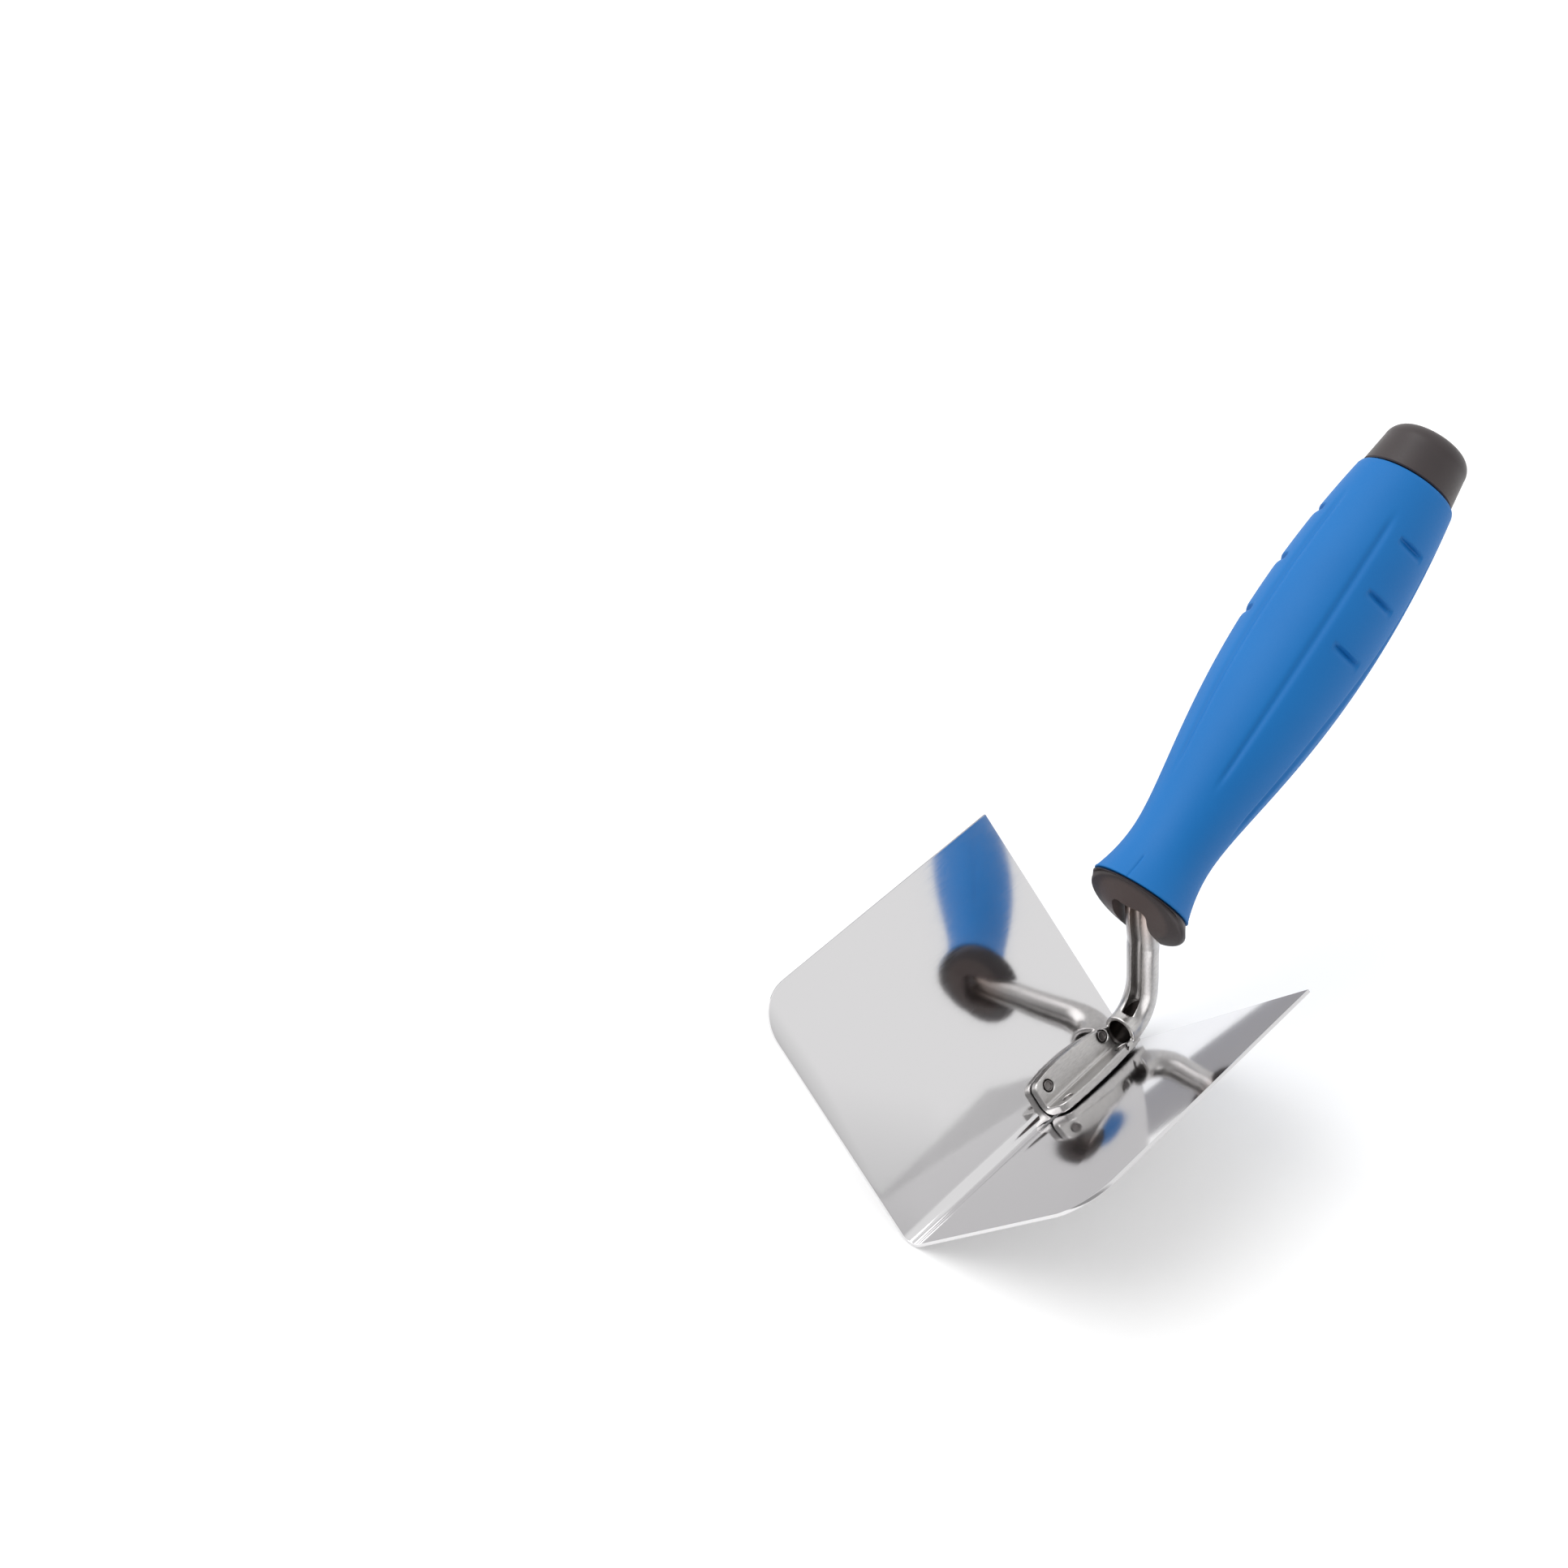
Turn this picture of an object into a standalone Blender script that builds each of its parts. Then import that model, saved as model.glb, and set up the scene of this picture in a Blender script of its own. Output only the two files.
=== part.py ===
"""Inside corner trowel: a folded stainless blade, a pressed steel tang spot-welded into the fold,
and a two-component handle pushed onto the tang's stem.

Frame: +X across the blade, +Y along the fold from the blade's front edge towards the handle, +Z up,
with the V opening upwards. The origin is on the plane that the fold rests on, under the middle of
the whole tool. Inside the assembly empty, y = 0 is the blade's front edge and z = 0 is the line
where the two outer faces would meet if the fold were sharp.
"""

import math

import bmesh
import bpy
from mathutils import Matrix, Vector
from mathutils.geometry import interpolate_bezier

MM = 0.001
CLEARANCE = 0.3 * MM

# Blade: one sheet folded lengthwise.
BLADE_LENGTH = 80 * MM
WING_WIDTH = 64 * MM
BLADE_THICKNESS = 0.8 * MM
FOLD_ANGLE = math.radians(88)
FOLD_OUTER_RADIUS = 3.8 * MM
BLADE_CORNER_RADIUS = 10 * MM

# Tang: the foot that lies in the fold. Its rear end is set in from the blade's rear edge.
FOOT_THICKNESS = 2.0 * MM
FOOT_LENGTH = 30 * MM
FOOT_REAR_INSET = 1.5 * MM
FOOT_WIDTH = 10 * MM
FOOT_WIDEST_FROM_FRONT = 11 * MM
FOOT_SIDE_RADIUS = 60 * MM
FOOT_CORNER_RADIUS = 3.4 * MM

# Spot welds: a nugget in each dimple of the foot.
WELD_RADIUS = 1.2 * MM
WELD_UP_THE_WING = 7.0 * MM
WELD_FRONT_INSET = 3.8 * MM
WELD_REAR_INSET = 6.0 * MM
WELD_DISH = 0.35 * MM
WELD_RIM = 0.36 * MM
WELD_SLOPE = 0.3 * MM

# Tang: the rolled neck, from its open mouth above the foot up to the handle, and the hidden stem.
# Its section is an oval: the width lies across the tool, the depth in the plane of symmetry.
NECK_HALF_WIDTH = 4.05 * MM
NECK_HALF_DEPTH = 2.8 * MM
MOUTH_HALF_DEPTH = 4.4 * MM
NECK_WALL = 1.0 * MM
NECK_BORE_DEPTH = 5.0 * MM
MOUTH_HEIGHT = 7.7 * MM
MOUTH_AHEAD_OF_FOOT_REAR = 3.0 * MM
NECK_BEHIND_BLADE = 3.2 * MM
NECK_BEND = 9.3 * MM
NECK_STRAIGHT_TOP = 32 * MM
NECK_LEAN = 1.0 * MM
GROOVE_RADIUS = 1.3 * MM
GROOVE_SINK = 0.2 * MM
STEM_LENGTH = 45 * MM
STEM_TIP_SCALE = 0.7

# How far each end of a neck curve pulls straight on before it bends.
BEND_START_PULL = 0.5 * NECK_BEND
BEND_END_PULL = 0.6 * NECK_BEND
RISE_PULL = 5 * MM

# Handle: its axis starts at the grip's front edge and rises towards the butt.
HANDLE_ANGLE = math.radians(31)
HANDLE_ROOT_AHEAD_OF_REAR_EDGE = 0.4 * MM
HANDLE_ROOT_HEIGHT = 47.6 * MM
STEM_TURN = 6 * MM
STEM_TURN_FORWARD = 2.2 * MM
STEM_TURN_TIGHTNESS = 0.77

GRIP_LENGTH = 111.6 * MM
GRIP_FRONT_RADIUS = 12.1 * MM
GRIP_WAIST_RADIUS = 9.85 * MM
GRIP_WAIST_AT = 13 * MM
GRIP_BELLY_RADIUS = 15.5 * MM
GRIP_BELLY_AT = 71 * MM
GRIP_BUTT_RADIUS = 12.2 * MM
GRIP_EDGE_ROUNDING = 0.6 * MM
SWELL_START_PULL = 0.2
SWELL_END_PULL = 0.5

# Core: the nose starts concentric with the grip. Its face is dropped towards the underside and
# leans back at the top, so the nose is longer below.
CORE_RADIUS = 7.6 * MM
NOSE_BACK_RADIUS = 12.0 * MM
NOSE_FACE_RADIUS = 12.5 * MM
NOSE_FACE_AHEAD = 2.0 * MM
NOSE_FACE_DROP = 2.4 * MM
NOSE_FACE_LEAN = math.radians(11)
NOSE_ROUNDING = 1.0 * MM
NOSE_TIP_RADIUS = 3.6 * MM
NOSE_TIP_AHEAD = 3.6 * MM
SLOT_ABOVE_AXIS = 1.0 * MM
SPIGOT_RADIUS = 6.0 * MM
SPIGOT_LENGTH = 7.0 * MM

# Cap: its outside sits a little above the grip's axis, within the grip's rim.
CAP_LENGTH = 12.1 * MM
CAP_BASE_RADIUS = 11.4 * MM
CAP_END_RADIUS = 10.4 * MM
CAP_ROUNDING = 4.2 * MM
CAP_RISE = 0.6 * MM

# Finger dimples pressed into each side of the grip.
DIMPLES_PER_SIDE = 3
DIMPLE_FIRST_AT = 68 * MM
DIMPLE_SPACING = 14.4 * MM
DIMPLE_LENGTH = 7 * MM
DIMPLE_RADIUS = 1.2 * MM
DIMPLE_DEPTH = 0.8 * MM
DIMPLE_BELOW_TOP = math.radians(61)

# How finely the curved shapes are cut.
TURN_STEPS = 40
NECK_SIDES = 24
BORE_SIDES = 20
GROOVE_SIDES = 14
ROUND_SIDES = 24
BLADE_CORNER_STEPS = 10
FOOT_CORNER_STEPS = 5
FOOT_SIDE_STEPS = 10
BLADE_BEND_STEPS = 6
FOOT_BEND_STEPS = 4
BEND_STEPS = 12
RISE_STEPS = 6
STEM_STEPS = 4
SWELL_STEPS = 14
FALL_STEPS = 9
FLARE_STEPS = 6
ROUNDING_STEPS = 5

# Merges only points that coincide, and keeps a cutter clear of a face that it would lie on.
SAME_POINT = 0.001 * MM
OVERSHOOT = 1.0 * MM

HALF_FOLD = FOLD_ANGLE / 2
UP_WING = Vector((math.sin(HALF_FOLD), 0, math.cos(HALF_FOLD)))
OFF_WING = Vector((-math.cos(HALF_FOLD), 0, math.sin(HALF_FOLD)))
FOLD_RISE = FOLD_OUTER_RADIUS * (1 / math.sin(HALF_FOLD) - 1)

FOOT_LIFT = BLADE_THICKNESS + CLEARANCE
FOOT_REAR = BLADE_LENGTH - FOOT_REAR_INSET
FOOT_FRONT = FOOT_REAR - FOOT_LENGTH

HANDLE_ROOT = Vector((0, BLADE_LENGTH - HANDLE_ROOT_AHEAD_OF_REAR_EDGE, HANDLE_ROOT_HEIGHT))
HANDLE_AXIS = Vector((0, math.cos(HANDLE_ANGLE), math.sin(HANDLE_ANGLE)))
CAP_START = GRIP_LENGTH + CLEARANCE
BUTT_END = CAP_START + CAP_LENGTH


def reach():
    """How far back the butt cap reaches from the blade's front edge."""
    rounding_centre = HANDLE_ROOT + HANDLE_AXIS * (BUTT_END - CAP_ROUNDING)
    below_axis = CAP_END_RADIUS - CAP_ROUNDING - CAP_RISE
    return rounding_centre.y + below_axis * math.sin(HANDLE_ANGLE) + CAP_ROUNDING


def clear_scene():
    for obj in list(bpy.data.objects):
        bpy.data.objects.remove(obj, do_unlink=True)


def new_collection(name):
    collection = bpy.data.collections.new(name)
    bpy.context.scene.collection.children.link(collection)
    return collection


clear_scene()
TOOL = new_collection("inside_corner_trowel")
CUTTERS = new_collection("cutters")


# ---------------------------------------------------------------- materials


def material(name, colour, roughness, metallic=0.0):
    made = bpy.data.materials.new(name)
    made.use_nodes = True
    shader = made.node_tree.nodes["Principled BSDF"]
    shader.inputs["Base Color"].default_value = (*colour, 1)
    shader.inputs["Roughness"].default_value = roughness
    shader.inputs["Metallic"].default_value = metallic
    return made


# ---------------------------------------------------------------- objects and modifiers


def add_object(name, data, parent, collection=None):
    obj = bpy.data.objects.new(name, data)
    (collection or TOOL).objects.link(obj)
    obj.parent = parent
    return obj


def mesh_object(name, bm, parent, collection=None):
    mesh = bpy.data.meshes.new(name)
    bm.to_mesh(mesh)
    bm.free()
    return add_object(name, mesh, parent, collection)


def as_cutter(obj):
    for collection in list(obj.users_collection):
        collection.objects.unlink(obj)
    CUTTERS.objects.link(obj)
    obj.hide_render = True
    obj.display_type = "WIRE"
    return obj


def boolean(target, other, operation="DIFFERENCE"):
    modifier = target.modifiers.new(f"{operation.lower()} {other.name}", "BOOLEAN")
    modifier.operation = operation
    modifier.object = other


def finish(obj, made_of):
    obj.data.materials.append(made_of)
    if obj.type == "MESH":
        obj.data.shade_smooth()
        obj.data.set_sharp_from_angle(angle=math.radians(35))


def cylinder_cutter(name, radius, start, end, parent):
    """A cylinder from one point to another."""
    bm = bmesh.new()
    along = end - start
    bmesh.ops.create_cone(
        bm, cap_ends=True, segments=ROUND_SIDES, radius1=radius, radius2=radius, depth=along.length
    )
    cutter = mesh_object(name, bm, parent, CUTTERS)
    cutter.rotation_mode = "QUATERNION"
    cutter.rotation_quaternion = along.to_track_quat("Z", "Y")
    cutter.location = (start + end) / 2
    return as_cutter(cutter)


def lofted(name, rings, parent, sides):
    """A closed solid through oval rings. A ring is its centre, the direction that its depth lies
    in, its half width along X and its half depth."""
    bm = bmesh.new()
    turns = [math.tau * k / sides for k in range(sides)]
    across = Vector((1, 0, 0))
    loops = [
        [
            bm.verts.new(centre + across * half_width * math.cos(turn) + inward * half_depth * math.sin(turn))
            for turn in turns
        ]
        for centre, inward, half_width, half_depth in rings
    ]
    for lower, upper in zip(loops, loops[1:]):
        for k in range(sides):
            after = (k + 1) % sides
            bm.faces.new((lower[k], lower[after], upper[after], upper[k]))
    bm.faces.new(loops[0])
    bm.faces.new(loops[-1])
    bmesh.ops.recalc_face_normals(bm, faces=bm.faces)
    return mesh_object(name, bm, parent)


def tube_rings(points, half_widths, half_depths):
    """Rings square to a line of points in the plane of symmetry."""
    last = len(points) - 1
    rings = []
    for i, point in enumerate(points):
        along = (points[min(i + 1, last)] - points[max(i - 1, 0)]).normalized()
        front = along.cross(Vector((1, 0, 0)))
        rings.append((point, front, half_widths[i], half_depths[i]))
    return rings


def capsule_cutter(name, radius, start, end, parent):
    """A rod with round ends from one point to another."""
    bm = bmesh.new()
    along = end - start
    bmesh.ops.create_uvsphere(bm, u_segments=16, v_segments=8, radius=radius)
    for vert in bm.verts:
        if vert.co.z > SAME_POINT:
            vert.co.z += along.length / 2
        elif vert.co.z < -SAME_POINT:
            vert.co.z -= along.length / 2
    cutter = mesh_object(name, bm, parent, CUTTERS)
    cutter.rotation_mode = "QUATERNION"
    cutter.rotation_quaternion = along.to_track_quat("Z", "Y")
    cutter.location = (start + end) / 2
    return as_cutter(cutter)


def turned(name, outline, parent, closed=False):
    """Turns an outline of (radius, height) points, which runs down its outer side."""
    bm = bmesh.new()
    corners = [bm.verts.new((radius, 0, height)) for radius, height in outline]
    for one, two in zip(corners, corners[1:]):
        bm.edges.new((one, two))
    if closed:
        bm.edges.new((corners[-1], corners[0]))
    obj = mesh_object(name, bm, parent)
    screw = obj.modifiers.new("turn", "SCREW")
    screw.steps = screw.render_steps = TURN_STEPS
    screw.use_merge_vertices = True
    screw.merge_threshold = SAME_POINT
    return obj


# ---------------------------------------------------------------- folded sheets


def folded_point(flat, lift, bend_radius):
    """Where a point of the flat sheet comes to lie: x is its distance from the fold line along the
    sheet's lower face, lift is how far that face lies inside the blade's outer faces."""
    turn = math.pi / 2 - HALF_FOLD
    arc = bend_radius * turn
    centre_height = (lift + bend_radius) / math.sin(HALF_FOLD)
    if flat.x <= arc:
        angle = flat.x / bend_radius
        return Vector((bend_radius * math.sin(angle), flat.y, centre_height - bend_radius * math.cos(angle)))
    start = Vector((bend_radius * math.sin(turn), 0, centre_height - bend_radius * math.cos(turn)))
    return start + UP_WING * (flat.x - arc) + Vector((0, flat.y, 0))


def flat_distance(up_the_wing, lift, bend_radius):
    """The flat sheet's x for a distance up the wing from the sharp fold line."""
    turn = math.pi / 2 - HALF_FOLD
    centre_height = (lift + bend_radius) / math.sin(HALF_FOLD)
    tangent_point = centre_height * math.cos(HALF_FOLD)
    return up_the_wing - tangent_point + bend_radius * turn


def folded_sheet(name, flat, lift, bend_radius, thickness, parent, bend_steps):
    """Folds half of a sheet, which lies flat in x and y, mirrors it and gives it its thickness."""
    arc = bend_radius * (math.pi / 2 - HALF_FOLD)
    for i in range(1, bend_steps + 1):
        geometry = [*flat.verts, *flat.edges, *flat.faces]
        crease = (arc * i / bend_steps, 0, 0)
        bmesh.ops.bisect_plane(flat, geom=geometry, plane_co=crease, plane_no=(1, 0, 0), dist=SAME_POINT / 10)
    for vert in flat.verts:
        vert.co = folded_point(vert.co, lift, bend_radius)
    bmesh.ops.recalc_face_normals(flat, faces=flat.faces)
    if sum(face.normal.z * face.calc_area() for face in flat.faces) < 0:
        bmesh.ops.reverse_faces(flat, faces=flat.faces)
    sheet = mesh_object(name, flat, parent)
    mirror = sheet.modifiers.new("other wing", "MIRROR")
    mirror.use_clip = True
    mirror.merge_threshold = SAME_POINT
    solidify = sheet.modifiers.new("thickness", "SOLIDIFY")
    solidify.thickness = thickness
    solidify.offset = 1
    solidify.use_even_offset = True
    return sheet


def rounded_corner(bm, corner, radius, segments):
    vert = min(bm.verts, key=lambda v: (v.co - corner).length)
    bmesh.ops.bevel(
        bm, geom=[vert], offset=radius, offset_type="OFFSET", segments=segments, profile=0.5,
        affect="VERTICES",
    )


def make_blade(parent):
    width = flat_distance(WING_WIDTH, 0, FOLD_OUTER_RADIUS)
    flat = bmesh.new()
    corners = [(0, 0), (width, 0), (width, BLADE_LENGTH), (0, BLADE_LENGTH)]
    flat.faces.new([flat.verts.new((x, y, 0)) for x, y in corners])
    rounded_corner(flat, Vector((width, 0, 0)), BLADE_CORNER_RADIUS, BLADE_CORNER_STEPS)
    blade = folded_sheet("blade", flat, 0, FOLD_OUTER_RADIUS, BLADE_THICKNESS, parent, BLADE_BEND_STEPS)
    finish(blade, material("polished_stainless", (0.80, 0.80, 0.81), 0.12, 1.0))
    return blade


# ---------------------------------------------------------------- tang


def foot_bend_radius():
    return FOLD_OUTER_RADIUS - FOOT_LIFT


def foot_half_width(y):
    """The foot's side is an arc, widest a little ahead of its middle."""
    from_widest = y - FOOT_FRONT - FOOT_WIDEST_FROM_FRONT
    return FOOT_WIDTH - FOOT_SIDE_RADIUS + math.sqrt(FOOT_SIDE_RADIUS**2 - from_widest**2)


def make_foot(parent):
    bend_radius = foot_bend_radius()
    stations = [FOOT_FRONT + FOOT_LENGTH * i / FOOT_SIDE_STEPS for i in range(FOOT_SIDE_STEPS + 1)]
    side = [(flat_distance(foot_half_width(y), FOOT_LIFT, bend_radius), y) for y in stations]
    outline = [(0, FOOT_FRONT), *side, (0, FOOT_REAR)]
    flat = bmesh.new()
    flat.faces.new([flat.verts.new((x, y, 0)) for x, y in outline])
    rounded_corner(flat, Vector((*side[0], 0)), FOOT_CORNER_RADIUS, FOOT_CORNER_STEPS)
    return folded_sheet("tang", flat, FOOT_LIFT, bend_radius, FOOT_THICKNESS, parent, FOOT_BEND_STEPS)


def bezier(start, start_handle, end_handle, end, steps):
    """Points along a cubic curve, both ends included."""
    return interpolate_bezier(start, start_handle, end_handle, end, steps + 1)


def neck_path():
    """The neck's centre line in runs: the bend above the foot, the rise, the turn onto the handle's
    axis, and the stem."""
    mouth = Vector((0, FOOT_REAR - MOUTH_AHEAD_OF_FOOT_REAR, MOUTH_HEIGHT))
    neck_y = BLADE_LENGTH + NECK_BEHIND_BLADE
    foot_of_rise = Vector((0, neck_y, MOUTH_HEIGHT + NECK_BEND))
    top_of_rise = Vector((0, neck_y - NECK_LEAN, NECK_STRAIGHT_TOP))
    on_axis = HANDLE_ROOT + HANDLE_AXIS * STEM_TURN
    stem_end = HANDLE_ROOT + HANDLE_AXIS * STEM_LENGTH
    up = Vector((0, 0, 1))
    back = Vector((0, 1, 0))
    bend_end = foot_of_rise - up * BEND_END_PULL
    bend = bezier(mouth, mouth + back * BEND_START_PULL, bend_end, foot_of_rise, BEND_STEPS)
    rise_start = foot_of_rise + up * RISE_PULL
    rise = bezier(foot_of_rise, rise_start, top_of_rise - up * RISE_PULL, top_of_rise, RISE_STEPS)
    turn_height = (HANDLE_ROOT.z - NECK_STRAIGHT_TOP) * STEM_TURN_TIGHTNESS
    turn_start = top_of_rise + Vector((0, -STEM_TURN_FORWARD, turn_height))
    turn_end = HANDLE_ROOT - HANDLE_AXIS * MM
    turn = bezier(top_of_rise, turn_start, turn_end, on_axis, BEND_STEPS)
    stem = [on_axis.lerp(stem_end, (i + 1) / STEM_STEPS) for i in range(STEM_STEPS)]
    return bend, rise[1:], turn[1:], stem


def neck_rings(extra=0.0):
    """The whole tube's points, half widths and half depths, each grown by extra. The depth shrinks
    along the bend, and the stem tapers to its tip."""
    bend, rise, turn, stem = neck_path()
    points = [*bend, *rise, *turn, *stem]
    shrink = MOUTH_HALF_DEPTH - NECK_HALF_DEPTH
    depths = [MOUTH_HALF_DEPTH - shrink * i / BEND_STEPS for i in range(BEND_STEPS)]
    depths += [NECK_HALF_DEPTH] * (len(points) - BEND_STEPS)
    tapers = [1.0] * (len(points) - STEM_STEPS)
    tapers += [1 - (1 - STEM_TIP_SCALE) * (i + 1) / STEM_STEPS for i in range(STEM_STEPS)]
    half_widths = [NECK_HALF_WIDTH * taper + extra for taper in tapers]
    half_depths = [depth * taper + extra for depth, taper in zip(depths, tapers)]
    return points, half_widths, half_depths


def groove_path():
    """The line that the groove's centre follows, just inside the front of the neck."""
    bend, rise, turn, _ = neck_path()
    centres = [bend[-1], *rise, *turn[:-3]]
    line = []
    for before, here, after in zip(centres, centres[1:], centres[2:]):
        along = (after - before).normalized()
        front = Vector((0, -along.z, along.y))
        line.append(here + front * (NECK_HALF_DEPTH - GROOVE_SINK))
    return line


def make_bore(parent):
    """The hollow behind the neck's mouth."""
    points, half_widths, half_depths = neck_rings(extra=-NECK_WALL)
    count = sum((point - points[0]).length < NECK_BORE_DEPTH for point in points)
    line = [points[0] - Vector((0, OVERSHOOT, 0)), *points[:count]]
    widths = [half_widths[0], *half_widths[:count]]
    depths = [half_depths[0], *half_depths[:count]]
    return lofted("neck_bore", tube_rings(line, widths, depths), parent, BORE_SIDES)


def make_tang(parent):
    tang = make_foot(parent)
    neck = lofted("neck_solid", tube_rings(*neck_rings()), parent, NECK_SIDES)
    boolean(tang, as_cutter(neck), "UNION")
    boolean(tang, as_cutter(make_bore(parent)))
    line = groove_path()
    radii = [GROOVE_RADIUS] * len(line)
    groove = lofted("neck_groove", tube_rings(line, radii, radii), parent, GROOVE_SIDES)
    boolean(tang, as_cutter(groove))
    for name, centre, normal in weld_places():
        floor = centre + normal * (FOOT_LIFT - CLEARANCE)
        top = centre + normal * (FOOT_LIFT + FOOT_THICKNESS + OVERSHOOT)
        boolean(tang, cylinder_cutter(name + "_dimple", WELD_RADIUS + CLEARANCE, floor, top, parent))
    finish(tang, material("brushed_steel", (0.55, 0.54, 0.53), 0.35, 1.0))
    return tang


def weld_places():
    """Each weld's name, its place on the blade's outer face and the direction off that wing."""
    ends = {"front": FOOT_FRONT + WELD_FRONT_INSET, "rear": FOOT_REAR - WELD_REAR_INSET}
    places = []
    for side, flip in (("left", Vector((-1, 1, 1))), ("right", Vector((1, 1, 1)))):
        for end, y in ends.items():
            centre = UP_WING * WELD_UP_THE_WING * flip + Vector((0, y, 0))
            places.append((f"weld_{side}_{end}", centre, OFF_WING * flip))
    return places


def make_welds(parent):
    """Dished nuggets, each clear of the blade and of its hole in the foot."""
    height = FOOT_THICKNESS - CLEARANCE
    for name, centre, normal in weld_places():
        bm = bmesh.new()
        bmesh.ops.create_cone(
            bm, cap_ends=True, segments=ROUND_SIDES, radius1=WELD_RADIUS, radius2=WELD_RADIUS, depth=height
        )
        top = max(bm.faces, key=lambda face: face.calc_center_median().z)
        bmesh.ops.inset_region(bm, faces=[top], thickness=WELD_RIM)
        bmesh.ops.inset_region(bm, faces=[top], thickness=WELD_SLOPE, depth=-WELD_DISH)
        nugget = mesh_object(name, bm, parent)
        nugget.rotation_mode = "QUATERNION"
        nugget.rotation_quaternion = normal.to_track_quat("Z", "Y")
        nugget.location = centre + normal * (FOOT_LIFT + height / 2)
        finish(nugget, material(name, (0.38, 0.36, 0.35), 0.45, 1.0))


# ---------------------------------------------------------------- handle


def arc_points(centre, radius, start, end, steps):
    """Points on an arc of (radius, height), for angles measured from the turning plane."""
    return [
        (
            centre[0] + radius * math.cos(start + (end - start) * i / steps),
            centre[1] + radius * math.sin(start + (end - start) * i / steps),
        )
        for i in range(steps + 1)
    ]


def grip_outline():
    """The grip's outer side from the butt to the front: a long belly, then a waist and a flare."""

    def flat_at(start, end, steps):
        # A parabola that is level where it starts.
        knee = Vector(((start.x + end.x) / 2, start.y, 0))
        return bezier(start, start.lerp(knee, 2 / 3), end.lerp(knee, 2 / 3), end, steps)

    front = Vector((0, GRIP_FRONT_RADIUS, 0))
    waist = Vector((GRIP_WAIST_AT, GRIP_WAIST_RADIUS, 0))
    belly = Vector((GRIP_BELLY_AT, GRIP_BELLY_RADIUS, 0))
    butt = Vector((GRIP_LENGTH, GRIP_BUTT_RADIUS, 0))
    along = Vector((belly.x - waist.x, 0, 0))
    swell_end = belly - along * SWELL_END_PULL
    swell = bezier(waist, waist + along * SWELL_START_PULL, swell_end, belly, SWELL_STEPS)
    fall = flat_at(belly, butt, FALL_STEPS)
    flare = flat_at(waist, front, FLARE_STEPS)
    line = [*reversed(fall), *reversed(swell[:-1]), *flare[1:]]
    return [(point.y, point.x) for point in line]


def grip_radius(height):
    """The grip's outer radius at a height along its axis."""
    outline = grip_outline()
    for (upper, high), (lower, low) in zip(outline, outline[1:]):
        if low <= height <= high:
            return lower + (upper - lower) * (height - low) / (high - low)
    return outline[-1][0]


def make_grip(axis):
    side = grip_outline()
    (butt_radius, butt), (front_radius, front) = side[0], side[-1]
    edge = GRIP_EDGE_ROUNDING
    bore = CORE_RADIUS + CLEARANCE
    top_round = arc_points((butt_radius - edge, butt - edge), edge, math.pi / 2, 0, ROUNDING_STEPS)
    outline = [*top_round, *side[1:-1], (front_radius, front), (bore, front), (bore, butt)]
    grip = turned("grip_sleeve", outline, axis, closed=True)
    for sign in (-1, 1):
        for i in range(DIMPLES_PER_SIDE):
            height = DIMPLE_FIRST_AT + DIMPLE_SPACING * i
            turn = Matrix.Rotation(sign * DIMPLE_BELOW_TOP, 3, "Z")
            out = turn @ Vector((0, -1, 0))
            across = turn @ Vector((1, 0, 0))
            middle = out * (grip_radius(height) + DIMPLE_RADIUS - DIMPLE_DEPTH) + Vector((0, 0, height))
            ends = [middle - across * DIMPLE_LENGTH / 2, middle + across * DIMPLE_LENGTH / 2]
            boolean(grip, capsule_cutter(f"dimple_{i}_{sign + 1}", DIMPLE_RADIUS, *ends, axis))
    finish(grip, material("soft_blue_rubber", (0.035, 0.22, 0.58), 0.55))
    return grip


def nose_rings():
    """The nose from its concentric back ring over the leaning face's round edge to the blunt tip."""
    # The handle's own -Y side is its upper one.
    down = Vector((0, math.cos(NOSE_FACE_LEAN), -math.sin(NOSE_FACE_LEAN)))
    ahead = Vector((0, -math.sin(NOSE_FACE_LEAN), -math.cos(NOSE_FACE_LEAN)))
    centre = Vector((0, NOSE_FACE_DROP, -NOSE_FACE_AHEAD))
    rings = [(Vector((0, 0, -CLEARANCE)), Vector((0, 1, 0)), NOSE_BACK_RADIUS, NOSE_BACK_RADIUS)]
    edge = arc_points((NOSE_FACE_RADIUS - NOSE_ROUNDING, 0), NOSE_ROUNDING, 0, math.pi / 2, ROUNDING_STEPS)
    for radius, depth in [*edge, (NOSE_TIP_RADIUS, NOSE_TIP_AHEAD)]:
        rings.append((centre + ahead * depth, down, radius, radius))
    return rings


def make_slot(axis):
    """The slot that the neck enters, open to the nose's front and underside."""
    top = -2 * CLEARANCE
    floor = -NOSE_FACE_AHEAD - NOSE_TIP_AHEAD - NOSE_FACE_RADIUS * math.sin(NOSE_FACE_LEAN) - OVERSHOOT
    far = NOSE_FACE_RADIUS + NOSE_FACE_DROP + OVERSHOOT
    size = Vector((2 * (NECK_HALF_WIDTH + 2 * CLEARANCE), SLOT_ABOVE_AXIS + far, top - floor))
    middle = Vector((0, (far - SLOT_ABOVE_AXIS) / 2, (top + floor) / 2))
    bm = bmesh.new()
    bmesh.ops.create_cube(bm, size=1)
    bmesh.ops.scale(bm, verts=bm.verts, vec=size)
    bmesh.ops.translate(bm, verts=bm.verts, vec=middle)
    return mesh_object("nose_slot", bm, axis)


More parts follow.
